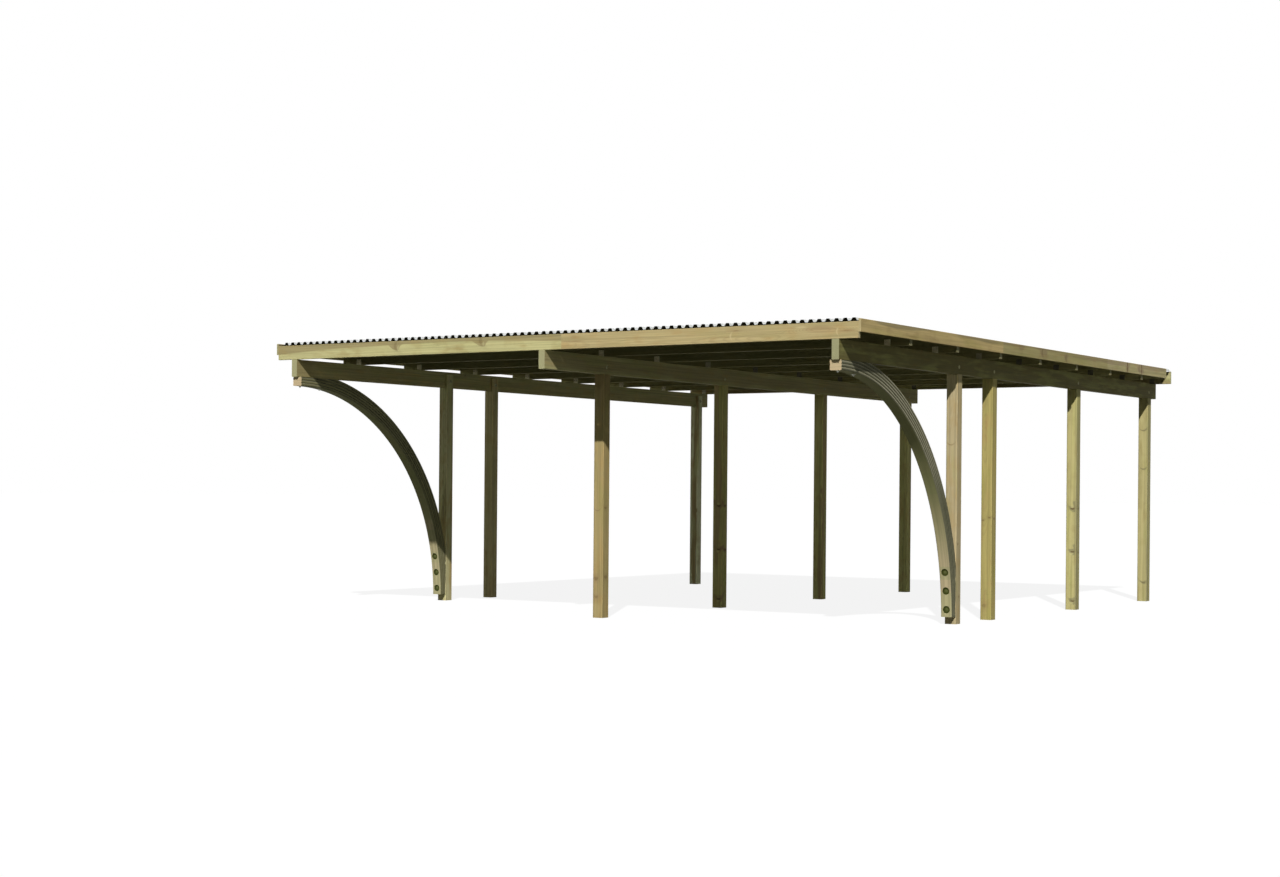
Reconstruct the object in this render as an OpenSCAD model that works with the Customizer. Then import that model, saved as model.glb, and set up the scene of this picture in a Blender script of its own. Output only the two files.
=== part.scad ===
// Flat-roofed double carport: three rows of timber posts and beams, rafters across them,
// trapezoidal roof sheets, and a laminated arch bracing the front of each outer row.
// Millimetres, +Z up, front towards -Y, origin on the ground under the middle of the roof.

/* [Plan] */
// Width of the roof over the side boards
roof_w = 5630; // [5000:10:6200]
// Depth of the roof over the front and rear boards
roof_d = 6760; // [6200:10:7400]
// Side edge of the roof to the middle of the outer row
side_setback = 215; // [150:5:400]
// Front edge of the roof to the middle row's front post
front_setback = 867; // [600:1:1000]
// Front edge of the roof to the posts that carry the arches
arch_setback = 2065; // [1950:5:2200]
// Rear edge of the roof to the last post of each row
rear_setback = 205; // [100:5:400]
// Free height under the beams
headroom = 2000; // [1850:5:2400]

/* [Posts] */
// Side of the square posts
post_w = 95; // [85:1:120]
// Chamfer on the posts' long edges
post_chamfer = 5; // [1:0.5:10]
// Distance of the tongue's top below the beam's top
tongue_drop = 28; // [10:1:60]

/* [Beams and rafters] */
// Width of a beam
beam_w = 58; // [45:1:62]
// Height of a beam
beam_h = 148; // [120:1:180]
// Distance that a beam's face lies inside the face of its posts
beam_inset = 8; // [0:1:10]
// Width of a rafter
rafter_w = 45; // [36:1:60]
// Height of a rafter
rafter_h = 124; // [100:1:160]
// Chamfer on the long edges of beams and rafters
timber_chamfer = 3; // [1:0.5:6]

/* [Edge boards] */
// Thickness of the front and rear boards, which stand in place of the end rafters
end_board_t = 28; // [20:1:40]
// Distance that the front and rear boards' tops lie below the rafters'
end_board_drop = 4; // [1:1:12]
// Distance from the middle to the joint in the front and rear boards
board_joint_x = 199; // [20:1:600]
// Thickness of the side boards
side_board_t = 20; // [16:1:28]
// Height of the side boards
side_board_h = 95; // [80:1:130]
// Distance that the side boards' tops lie below the tops of the ribs
side_board_drop = 8; // [0:1:14]
// Front edge of the roof to the joint in the side boards, which moves to the nearest rafter
side_joint = 2540; // [1700:10:5000]
// Gap between the side boards' rear ends and the rear board
corner_gap = 180; // [20:5:250]
// Chamfer on the edge boards' long edges
board_chamfer = 2; // [0.5:0.5:4]

/* [Roof sheets] */
// Ribs on a whole sheet
sheet_ribs = 14; // [12:1:14]
// Distance between ribs
rib_pitch = 70; // [66:0.5:76]
// Height of a rib
rib_h = 22; // [16:1:26]
// Width of a rib at its foot
rib_foot = 47; // [40:1:52]
// Width of a rib's flat top
rib_top = 25; // [18:1:30]
// Thickness of the sheet
sheet_t = 1.2; // [0.8:0.1:2]
// Room between lapped ribs
lap_gap = 0.2; // [0.1:0.1:0.5]
// Distance from the right side board to the middle of the nearest rib
edge_rib = 37; // [30:1:60]
// Room between the sheets and the side boards
sheet_edge_gap = 5; // [1:1:10]

/* [Arches] */
// Radius of the arch's outer curve
arch_r = 1996; // [1850:1:2050]
// Width of the arch
arch_w = 95; // [80:1:120]
// Depth of the flat cut that bears on the post
post_seat = 48; // [10:1:55]
// Depth of the flat cut that bears under the beam
beam_seat = 42; // [10:1:60]
// Height of the arch's foot above the ground
arch_foot_z = 60; // [30:1:120]
// Distance that the arch's upper end lies behind the beam's end
arch_end_setback = 27; // [10:1:60]
// Number of layers glued together
layer_count = 5; // [4:1:7]
// Thickness of one layer
layer_t = 23.6; // [16:0.1:26]
// Chamfer along both side edges of each layer
layer_chamfer = 4; // [1:0.5:6]
// Diameter of the counterbores for the bolts in the foot
counterbore_d = 52; // [36:1:60]
// Depth of the counterbores
counterbore_depth = 45; // [15:1:48]
// Height of the lowest counterbore above the arch's foot
first_bolt_h = 59; // [45:1:80]
// Distance between the bolts in the foot
bolt_spacing = 149; // [120:1:170]

/* [Brackets] */
// Width of an angle bracket
bracket_w = 50; // [36:1:56]
// Length of a bracket's legs
bracket_leg = 50; // [40:1:70]
// Thickness of a bracket's metal
bracket_t = 2.5; // [1.5:0.5:4]

/* [Hidden] */
ROWS = ["left", "middle", "right"];
SIDES = ["left", "right"];
ENDS = ["front", "rear"];
POSTS_PER_ROW = 4;
RAFTERS = 7;
SHEETS = 6;
BOLTS = 3;

front_y = -roof_d / 2;
rear_y = roof_d / 2;
row_spacing = roof_w / 2 - side_setback;
post_spacing = (roof_d - front_setback - rear_setback) / (POSTS_PER_ROW - 1);
tongue_t = post_w - beam_inset - beam_w;
tongue_h = beam_h - tongue_drop;
beam_top = headroom + beam_h;
rafter_top = beam_top + rafter_h;
rib_crown = rafter_top + rib_h + sheet_t;
inner_w = roof_w - 2 * side_board_t;
end_board_h = rafter_h - end_board_drop;
rafter_spacing = (roof_d - end_board_t) / (RAFTERS + 1);
joint_rafter = round((side_joint - end_board_t / 2) / rafter_spacing);

// Ribs are set out from the right, and as many as fit reach across to the left
rib_slope = 2 * rib_h / (rib_foot - rib_top);
lap_lift = sheet_t + lap_gap;
last_rib = floor((inner_w - edge_rib - rib_foot / 2 - sheet_edge_gap) / rib_pitch);
first_rib_x = inner_w / 2 - edge_rib - last_rib * rib_pitch;

// The ring stands so far into the post and the beam that its flat cuts come out at their depths
arch_t = layer_count * layer_t;
arch_inner_r = arch_r - arch_t;
ring_y = front_y + arch_setback - post_w / 2 + post_seat - arch_r;
ring_z = headroom + beam_seat - arch_r;
// How far the arch's ends lie in front of the ring's centre and below it
head_reach = ring_y - front_y - arch_end_setback;
foot_drop = ring_z - arch_foot_z;

wood_lit = [0.67, 0.61, 0.41];
wood_pale = [0.74, 0.67, 0.47];
wood_dark = [0.56, 0.51, 0.34];
arch_tan = [0.70, 0.62, 0.46];
sheet_grey = [0.82, 0.83, 0.82];
zinc = [0.62, 0.64, 0.64];

// Which way a row or side lies from the middle: -1, 0 or 1
function side_of(row) = row == "left" ? -1 : row == "right" ? 1 : 0;
function row_x(row) = side_of(row) * row_spacing;
// A beam lies on the outer side of its posts, and on the right of the middle row's
function beam_side(row) = row == "left" ? -1 : 1;
function beam_x(row) = row_x(row) + beam_side(row) * ((post_w - beam_w) / 2 - beam_inset);
function post_y(row, i) =
    front_y + (row != "middle" && i == 1 ? arch_setback : front_setback + (i - 1) * post_spacing);
// The front board counts as rafter 0, so that all are evenly spaced from it to the rear board
function rafter_y(i) = front_y + end_board_t / 2 + i * rafter_spacing;
function rib_x(k) = first_rib_x + k * rib_pitch;
function sheet_first_rib(i) = (i - 1) * (sheet_ribs - 1);
function sheet_last_rib(i) = i == SHEETS ? last_rib : sheet_first_rib(i + 1);

// Section of a planed timber, centred, with its long edges chamfered
module timber_section(w, h, c) {
    polygon([
        [-w / 2 + c, -h / 2], [w / 2 - c, -h / 2], [w / 2, -h / 2 + c], [w / 2, h / 2 - c],
        [w / 2 - c, h / 2], [-w / 2 + c, h / 2], [-w / 2, h / 2 - c], [-w / 2, -h / 2 + c]
    ]);
}

// Timber that runs back from the origin, centred on X, with its underside at Z = 0
module timber_along_y(w, h, length, c) {
    translate([0, length, h / 2]) rotate([90, 0, 0]) linear_extrude(length) timber_section(w, h, c);
}

// Timber that runs right from the origin, centred on Y, with its underside at Z = 0
module timber_along_x(w, h, length, c) {
    translate([0, 0, h / 2]) rotate([90, 0, 90]) linear_extrude(length) timber_section(w, h, c);
}

// Post notched at the top to seat its beam, with a tongue left standing beside the beam
module post(row, i) {
    cut_w = 2 * post_w;
    cut_x = beam_side(row) * (tongue_t + (cut_w - post_w) / 2);
    color(wood_lit) translate([row_x(row), post_y(row, i), 0]) difference() {
        linear_extrude(headroom + tongue_h) timber_section(post_w, post_w, post_chamfer);
        translate([cut_x, 0, headroom + tongue_h])
            cube([cut_w, 2 * post_w, 2 * tongue_h], center = true);
    }
}

module beam(row) {
    color(wood_dark) translate([beam_x(row), front_y, headroom])
        timber_along_y(beam_w, beam_h, roof_d, timber_chamfer);
}

module rafter(i) {
    color(wood_dark) translate([-inner_w / 2, rafter_y(i), beam_top])
        timber_along_x(rafter_w, rafter_h, inner_w, timber_chamfer);
}

// Front and rear boards between the side boards, each with one joint
module end_board(end, side) {
    reach = inner_w / 2;
    joint = end == "front" ? board_joint_x : -board_joint_x;
    start = side == "left" ? -reach : joint;
    color(side == "left" ? wood_pale : wood_lit)
        translate([start, rafter_y(end == "front" ? 0 : RAFTERS + 1), beam_top])
            timber_along_x(end_board_t, end_board_h, reach - side_of(side) * joint, board_chamfer);
}

// Side boards cover the rafters' ends and hide the roof sheets' edges
module side_board(side, end) {
    joint = rafter_y(joint_rafter);
    start = end == "front" ? front_y : joint;
    stop = end == "front" ? joint : rear_y - end_board_t - corner_gap;
    under = rib_crown - side_board_drop - side_board_h;
    color(end == "front" ? wood_pale : wood_lit)
        translate([side_of(side) * (roof_w - side_board_t) / 2, start, under])
            timber_along_y(side_board_t, side_board_h, stop - start, board_chamfer);
}

// Underside of one rib from left to right, lifted where it lies over the next sheet's rib
function rib_line(x, lift) = [
    [x - rib_foot / 2 - lift / rib_slope, 0],
    [x - rib_top / 2, rib_h + lift],
    [x + rib_top / 2, rib_h + lift],
    [x + rib_foot / 2, lift]
];

// Underside of a whole sheet, with a flat edge beside each side board
function sheet_line(i) = concat(
    i == 1 ? [[sheet_edge_gap - inner_w / 2, 0]] : [],
    [for (k = [sheet_first_rib(i):sheet_last_rib(i)])
        each rib_line(rib_x(k), i < SHEETS && k == sheet_last_rib(i) ? lap_lift : 0)],
    i == SHEETS ? [[inner_w / 2 - sheet_edge_gap, 0]] : []
);

module roof_sheet(i) {
    under = sheet_line(i);
    over = [for (k = [len(under) - 1:-1:0]) under[k] + [0, sheet_t]];
    color(sheet_grey) translate([0, rear_y, rafter_top]) rotate([90, 0, 0])
        linear_extrude(roof_d) polygon(concat(under, over));
}

// One side of the arch's section, from its inner face out, with each layer's edges chamfered
function arch_edge(side) = [
    for (k = [0:layer_count - 1]) each [
        [k * layer_t, side * (arch_w / 2 - layer_chamfer)],
        [k * layer_t + layer_chamfer, side * arch_w / 2],
        [(k + 1) * layer_t - layer_chamfer, side * arch_w / 2],
        if (k == layer_count - 1) [arch_t, side * (arch_w / 2 - layer_chamfer)]
    ]
];

module arch_section() {
    edge = arch_edge(1);
    polygon(concat(arch_edge(-1), [for (k = [len(edge) - 1:-1:0]) edge[k]]));
}

// Bent member before it is cut: a quarter ring whose ends run on straight past both cuts
module arch_ring() {
    foot = arch_t + max(foot_drop, 0);
    head = arch_t + max(head_reach, 0);
    rotate_extrude(angle = 90, $fn = 180) translate([arch_inner_r, 0]) arch_section();
    translate([arch_inner_r, 0, 0]) rotate([90, 0, 0]) linear_extrude(foot) arch_section();
    translate([-head, arch_inner_r, 0]) rotate([90, 0, 90]) linear_extrude(head) arch_section();
}

// Recess for a bolt, cut into the inner face at a height above the ring's centre
module counterbore(h) {
    face = sqrt(arch_inner_r ^ 2 - max(h, 0) ^ 2);
    translate([face - 2 * counterbore_depth, h, 0]) rotate([0, 90, 0])
        cylinder(d = counterbore_d, h = 3 * counterbore_depth, $fn = 48);
}

// Bent member cut flat where it bears on the post and under the beam, and square at both ends
module arch(side) {
    color(arch_tan) translate([row_x(side), ring_y, ring_z]) rotate([90, 0, 90]) difference() {
        intersection() {
            arch_ring();
            translate([-head_reach, -foot_drop, -arch_w])
                cube([head_reach + arch_r - post_seat, foot_drop + arch_r - beam_seat, 2 * arch_w]);
        }
        for (k = [0:BOLTS - 1]) counterbore(first_bolt_h - foot_drop + k * bolt_spacing);
    }
}

// Angle bracket with its corner at the origin: one leg lies forwards, the other stands up
module bracket() {
    translate([-bracket_w / 2, 0, 0]) rotate([90, 0, 90]) linear_extrude(bracket_w) polygon([
        [0, 0], [0, bracket_leg], [-bracket_t, bracket_leg],
        [-bracket_t, bracket_t], [-bracket_leg, bracket_t], [-bracket_leg, 0]
    ]);
}

// Brackets stand before each rafter and before the rear board
module brackets(row) {
    color(zinc) for (i = [1:RAFTERS + 1]) {
        face = i > RAFTERS ? rear_y - end_board_t : rafter_y(i) - rafter_w / 2;
        translate([beam_x(row), face, beam_top]) bracket();
    }
}

for (row = ROWS) for (i = [1:POSTS_PER_ROW])
    post(row, i);
for (row = ROWS)
    beam(row);
for (side = SIDES)
    arch(side);
for (i = [1:RAFTERS])
    rafter(i);
for (end = ENDS) for (side = SIDES)
    end_board(end, side);
for (side = SIDES) for (end = ENDS)
    side_board(side, end);
for (i = [1:SHEETS])
    roof_sheet(i);
for (row = ROWS)
    brackets(row);
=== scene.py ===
import math

import bpy
from mathutils import Matrix, Vector


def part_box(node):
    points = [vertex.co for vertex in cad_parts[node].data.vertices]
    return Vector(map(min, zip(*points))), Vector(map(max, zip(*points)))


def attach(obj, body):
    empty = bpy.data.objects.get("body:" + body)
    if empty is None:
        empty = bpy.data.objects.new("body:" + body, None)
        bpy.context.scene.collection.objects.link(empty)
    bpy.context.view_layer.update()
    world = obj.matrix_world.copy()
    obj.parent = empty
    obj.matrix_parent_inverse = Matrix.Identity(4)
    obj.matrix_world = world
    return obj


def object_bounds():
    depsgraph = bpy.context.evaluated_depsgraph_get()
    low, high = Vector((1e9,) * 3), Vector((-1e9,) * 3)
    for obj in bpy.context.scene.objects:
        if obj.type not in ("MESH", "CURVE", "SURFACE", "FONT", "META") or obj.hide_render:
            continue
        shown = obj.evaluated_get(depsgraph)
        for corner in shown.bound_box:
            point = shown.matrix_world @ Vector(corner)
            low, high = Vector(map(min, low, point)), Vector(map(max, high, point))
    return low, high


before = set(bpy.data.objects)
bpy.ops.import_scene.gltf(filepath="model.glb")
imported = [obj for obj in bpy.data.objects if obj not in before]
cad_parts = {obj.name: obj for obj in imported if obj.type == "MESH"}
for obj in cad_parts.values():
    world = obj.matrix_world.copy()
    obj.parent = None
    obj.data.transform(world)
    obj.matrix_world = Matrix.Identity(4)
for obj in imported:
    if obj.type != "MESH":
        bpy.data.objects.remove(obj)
cad_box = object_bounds()
bpy.ops.object.select_all(action="DESELECT")


# Posts
# Square posts of planed, pressure-treated pine, sawn with the heart inside, notched at the
# top for the beam. The salts leave the sapwood yellow-green and the heartwood brown.
class Wire:
    """One socket of a finish's nodes. Arithmetic adds Math nodes, and node() adds any other."""

    def __init__(self, tree, socket=None):
        self.tree = tree
        self.socket = socket

    def node(self, kind, settings, sockets, output=0):
        made = self.tree.nodes.new("ShaderNode" + kind)
        for name, value in settings.items():
            setattr(made, name, value)
        for name, value in sockets.items():
            if isinstance(value, Wire):
                self.tree.links.new(value.socket, made.inputs[name])
            else:
                made.inputs[name].default_value = value
        return Wire(self.tree, made.outputs[output])

    def __getitem__(self, output):
        return Wire(self.tree, self.socket.node.outputs[output])

    def __add__(self, other):
        return self.node("Math", {"operation": "ADD"}, {0: self, 1: other})

    def __sub__(self, other):
        return self.node("Math", {"operation": "SUBTRACT"}, {0: self, 1: other})

    def __rsub__(self, other):
        return self.node("Math", {"operation": "SUBTRACT"}, {0: other, 1: self})

    def __mul__(self, other):
        return self.node("Math", {"operation": "MULTIPLY"}, {0: self, 1: other})

    def __truediv__(self, other):
        return self.node("Math", {"operation": "DIVIDE"}, {0: self, 1: other})

    __radd__ = __add__
    __rmul__ = __mul__


def change(wire, operation, other=0.0):
    """A value after one more Math step, such as ABSOLUTE or MAXIMUM."""
    return wire.node("Math", {"operation": operation}, {0: wire, 1: other})


def fade(wire, low, high):
    """A smooth rise from 0 at low to 1 at high."""
    return wire.node("MapRange", {"interpolation_type": "SMOOTHSTEP"},
                     {"Value": wire, "From Min": low, "From Max": high})


def mixed(factor, first, second):
    """The first colour where the factor is 0, and the second where it is 1."""
    return factor.node("Mix", {"data_type": "RGBA"}, {0: factor, 6: first, 7: second}, 2)


def shaded(colour, shade):
    """A colour times a shade or times another colour."""
    return colour.node("Mix", {"data_type": "RGBA", "blend_type": "MULTIPLY"},
                       {0: 1.0, 6: colour, 7: shade}, 2)


def tinted(colour, red, green, blue):
    """A plain colour with its red, green and blue each scaled."""
    return (colour[0] * red, colour[1] * green, colour[2] * blue, 1.0)


def cloud(a, b, along, detail=2.0):
    """Soft noise at a place that is given by two ways across the grain and one along it."""
    place = a.node("CombineXYZ", {}, {0: a, 1: b, 2: along})
    return place.node("TexNoise", {}, {"Vector": place, "Scale": 1.0, "Detail": detail}, 0)


def new_finish(name):
    """A new material, and a wire from which its nodes are made."""
    finish = bpy.data.materials.new(name)
    finish.use_nodes = True
    return finish, Wire(finish.node_tree)


def in_three(vector):
    """The X, Y and Z of a vector."""
    return vector.node("SeparateXYZ", {}, {0: vector})


def place_on(wire):
    """The point of the surface in the carport's own frame."""
    return wire.node("TexCoord", {}, {}, "Object")


def facing(wire):
    """The way that a face looks, as its X, Y and Z."""
    return in_three(wire.node("NewGeometry", {}, {}, "Normal"))


def squarely(wire, axis):
    """How squarely a face looks along an axis, either way."""
    return change(facing(wire)[axis], "ABSOLUTE")


def chamfered(wire):
    """How far a face is from facing any axis, as a chamfer is."""
    x, y, z = (squarely(wire, axis) for axis in "XYZ")
    flat = change(change(x, "MAXIMUM", y), "MAXIMUM", z)
    return 1.0 - fade(flat, 0.80, 0.95)


def latewood(rings):
    """The dark part of each year's ring, from a running count of rings."""
    ring = change(rings, "FRACT")
    return fade(ring, 0.45, 0.88) * (1.0 - fade(ring, 0.90, 1.0))


def lay_on(finish, colour, rough, gloss, relief=None, strength=1.0, depth=0.0, metal=0.0):
    """Joins colour, roughness and relief to a finish's shader, and sets its gloss and metal."""
    links = finish.node_tree.links
    surface = finish.node_tree.nodes["Principled BSDF"]
    links.new(colour.socket, surface.inputs["Base Color"])
    links.new(rough.socket, surface.inputs["Roughness"])
    surface.inputs["Specular IOR Level"].default_value = gloss
    surface.inputs["Metallic"].default_value = metal
    if relief is not None:
        bump = relief.node("Bump", {}, {"Height": relief, "Strength": strength, "Distance": depth})
        links.new(bump.socket, surface.inputs["Normal"])


def wear(node_name, finish):
    """Gives a CAD node one finish in place of those that it came with."""
    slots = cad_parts[node_name].data.materials
    slots.clear()
    slots.append(finish)


# Two ways across the grain and the way along it
GRAIN_AXES = {"X": ("Y", "Z", "X"), "Y": ("X", "Z", "Y"), "Z": ("X", "Y", "Z")}
# Sizes here and below are in metres, and colours are linear
RING = 0.0050
WANDER = 0.11
HEART_EDGE = (-0.005, 0.006)
KNOT_BROWN = (0.115, 0.068, 0.028, 1.0)
KNOT_SIZE = 0.022
KNOT_CELL = 0.16
KNOT_STEP = 0.55
KNOT_EDGE = 0.004
KNOT_SWELL = 0.05
KNOT_PUSH = 0.05
KNOT_RING = 0.0034
KNOT_BEND = 15.0
KNOTLESS = 0.38
# How many to a metre, across the grain and along it
DRIFTS = (1.5, 1.15)
STREAKS = (70.0, 1.3)
FIBRES = (420.0, 14.0)
SALTS = (16.0, 2.6)
RESIN = (24.0, 4.5)
BLOTCHES = (8.0, 6.5)
CHECKS = (95.0, 1.7)
# Scales for the red, green and blue of the heartwood or the sapwood
RICH_TINT = (0.62, 0.58, 0.56)
BLOTCH_TINT = (1.05, 0.95, 0.80)
RESIN_TINT = (1.02, 0.90, 0.72)
SALT_TINT = (0.82, 0.90, 0.68)
PALE_TINT = (1.22, 1.24, 1.34)
END_TINT = (0.97, 1.05, 1.22)
SALT_STRENGTH = 0.45
WHITE = (1.0, 1.0, 1.0, 1.0)
PALER_LENGTH = (1.16, 1.17, 1.32, 1.0)
PALER_EDGE = 0.003
WOOD_GLOSS = 0.08
WOOD_RELIEF = 0.45
WOOD_RELIEF_DEPTH = 0.0012


def scattered_knots(a, b, along, knots, seed):
    """Knots by chance: how much of one there is, how far the grain swells round it, and how far off it is."""
    cell = a.node("CombineXYZ", {}, {0: a / KNOT_CELL + seed * 0.37, 1: b / KNOT_CELL + seed * 0.53,
                                     2: along / KNOT_STEP + seed * 0.71})
    knot_at = cell.node("TexVoronoi", {}, {"Vector": cell, "Scale": 1.0}, "Position")
    offset = cell.node("VectorMath", {"operation": "SUBTRACT"}, {0: cell, 1: knot_at})
    offset = cell.node("VectorMath", {"operation": "MULTIPLY"},
                       {0: offset, 1: (KNOT_CELL, KNOT_CELL, KNOT_STEP)})
    distance = cell.node("VectorMath", {"operation": "LENGTH"}, {0: offset}, "Value")
    chance = cell.node("SeparateColor", {}, {0: knot_at["Color"]})
    size = knots * 1.6 * (chance["Red"] - KNOTLESS)
    knot = fade(size - distance, 0.0, KNOT_EDGE)
    swell = fade(size * 3.2 - distance, 0.0, KNOT_SWELL) * 0.5
    return knot, swell, distance


def reach_from(mark_at, half_width, half_length, parts, axes):
    """How far off a mark is, which is 1 at its rim. The two sides of a mark bend along the grain."""
    at = dict(zip("XYZ", mark_at))
    off_a, off_b, run = (parts[axis] - at[axis] for axis in axes)
    aside = off_a * off_a + off_b * off_b
    bowed = (run - aside * KNOT_BEND) / half_length
    return change(aside / half_width ** 2 + bowed * bowed, "SQRT")


def treated_pine(timber, grain, pith, heart_r, sap, heart, seed, knots=KNOT_SIZE, marks=(),
                 wander=WANDER, bow=(0.0, 0.0), salts=SALT_STRENGTH, paler_past=None):
    """Sawn pine on one timber. Its rings run round a pith off the timber's middle, and bend round the knots.

    The pith wanders by chance, and bow is how far it sinks at a metre from a place along the timber,
    and that place. Knots are scattered by chance, and marks adds some: a point, half its width across
    the grain, half its length along it, and how dark it is, or below zero how pale. salts is the
    strength of the salts' patches, and paler_past is where along the grain a paler length begins.
    """
    finish, wire = new_finish(timber + "_pine")
    parts = in_three(place_on(wire))
    axes = GRAIN_AXES[grain]
    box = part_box(timber)
    middle = {axis: (box[0][i] + box[1][i]) / 2 for i, axis in enumerate("XYZ")}
    a, b, along = (parts[axis] - middle[axis] for axis in axes)

    knot, swell, distance = scattered_knots(a, b, along, knots, seed)
    bulge = swell
    pale_marks = []
    for mark_at, half_width, half_length, dark in marks:
        reach = reach_from(mark_at, half_width, half_length, parts, axes)
        spread = 1.0 - fade(reach, 0.5, 1.2)
        if dark < 0.0:
            pale_marks.append(spread * -dark)
            continue
        knot = change(knot, "MAXIMUM", spread * dark)
        swell = change(swell, "MAXIMUM", (1.0 - fade(reach, 0.6, 3.2)) * min(1.0, 1.8 * dark))
        bulge = change(bulge, "MAXIMUM", 1.0 - fade(reach, 0.4, 5.0))
        distance = change(distance, "MINIMUM", reach * half_length)

    place = a.node("CombineXYZ", {}, {0: a * DRIFTS[0] + seed * 1.37, 1: b * DRIFTS[0] + seed * 0.71,
                                      2: along * DRIFTS[1] + seed * 3.11})
    bent = in_three(place.node("TexNoise", {}, {"Vector": place, "Scale": 1.0, "Detail": 1.5}, "Color"))
    sink, sink_from = bow
    apart = along - sink_from
    from_pith_a = a - pith[0] + (bent["X"] - 0.5) * wander
    from_pith_b = b - pith[1] + (bent["Y"] - 0.5) * wander + apart * apart * sink
    radius = change(from_pith_a * from_pith_a + from_pith_b * from_pith_b, "SQRT") - bulge * KNOT_PUSH
    late = latewood(radius / RING)

    streak = cloud(a * STREAKS[0] + seed, b * STREAKS[0], along * STREAKS[1] + seed)
    fibre = cloud(a * FIBRES[0] + seed, b * FIBRES[0], along * FIBRES[1], 3.0)
    salt = cloud(a * SALTS[0] + seed, b * SALTS[0], along * SALTS[1] - seed * 2.0)
    resin = cloud(a * RESIN[0] - seed, b * RESIN[0] + seed, along * RESIN[1] + seed)
    blotch = cloud(a * BLOTCHES[0] + seed * 2.0, b * BLOTCHES[0] - seed,
                   along * BLOTCHES[1] + seed * 1.3, 3.0)
    check = cloud(a * CHECKS[0] - seed, b * CHECKS[0], along * CHECKS[1] - seed, 1.0)
    crack = (1.0 - fade(change(check - 0.5, "ABSOLUTE"), 0.0, 0.010)) * fade(salt, 0.56, 0.62)

    rich = tinted(heart, *RICH_TINT)
    colour = mixed(fade(radius, heart_r + HEART_EDGE[0], heart_r + HEART_EDGE[1]), heart, sap)
    colour = mixed(late * 0.26, colour, rich)
    colour = mixed(fade(blotch, 0.50, 0.68) * 0.35, colour, tinted(heart, *BLOTCH_TINT))
    colour = mixed(fade(salt, 0.46, 0.70) * salts, colour, tinted(sap, *SALT_TINT))
    colour = mixed(fade(resin, 0.54, 0.76) * 0.55, colour, tinted(heart, *RESIN_TINT))
    colour = shaded(colour, fade(streak, 0.25, 0.75) * 0.30 + 0.83)
    colour = mixed(crack * 0.55, colour, rich)
    colour = mixed(swell * 0.35, colour, rich)
    for pale in pale_marks:
        colour = mixed(pale, colour, tinted(sap, *PALE_TINT))
    whorl = fade(change(distance / KNOT_RING, "PINGPONG", 1.0), 0.3, 0.9)
    colour = mixed(knot * (0.75 + whorl * 0.25), colour, KNOT_BROWN)
    if paler_past is not None:
        past = fade(parts[axes[2]], paler_past - PALER_EDGE, paler_past + PALER_EDGE)
        colour = shaded(colour, mixed(past, WHITE, PALER_LENGTH))
    # Painted highlight: the chamfered edges are made 12 % lighter
    colour = shaded(colour, 1.0 + chamfered(wire) * 0.12)
    sawn_end = fade(squarely(wire, axes[2]), 0.75, 0.92)
    end_colour = mixed(late * 0.4, tinted(sap, *END_TINT), rich)
    colour = mixed(sawn_end * 0.88, colour, end_colour)

    rough = 0.60 + fibre * 0.22 - late * 0.06
    relief = late * 0.5 + fibre * 0.6 + knot * 0.4 - crack * 0.8
    lay_on(finish, colour, rough, WOOD_GLOSS, relief, WOOD_RELIEF, WOOD_RELIEF_DEPTH)
    wear(timber, finish)


POST_TAN = (0.360, 0.280, 0.122, 1.0)
POST_PINK = (0.435, 0.356, 0.200, 1.0)
POST_OLIVE = (0.385, 0.322, 0.113, 1.0)
POST_MOSS = (0.455, 0.405, 0.155, 1.0)
POST_STRAW = (0.510, 0.465, 0.185, 1.0)
POST_PALE = (0.500, 0.440, 0.190, 1.0)
POST_SAND = (0.465, 0.405, 0.182, 1.0)
POST_WARM = (0.500, 0.415, 0.210, 1.0)
POST_FAWN = (0.540, 0.490, 0.265, 1.0)
POST_SILVER = (0.730, 0.700, 0.450, 1.0)
POST_HEART = (0.375, 0.285, 0.135, 1.0)
POST_GREY = (0.325, 0.292, 0.142, 1.0)
ROWS = ("left", "middle", "right")
# The left row's tones and the middle row's rear ones are set paler, as painted light that lifts the roof's
# shade on those posts
# From the front post of each row to the rear one
POST_TONES = {"left": (POST_FAWN, POST_WARM, POST_SILVER, POST_SILVER),
              "middle": (POST_TAN, POST_MOSS, POST_STRAW, POST_STRAW),
              "right": (POST_PINK, POST_OLIVE, POST_PALE, POST_SAND)}
POST_W = 0.095
FRONT = -POST_W / 2
SIDE = POST_W / 2
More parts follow.
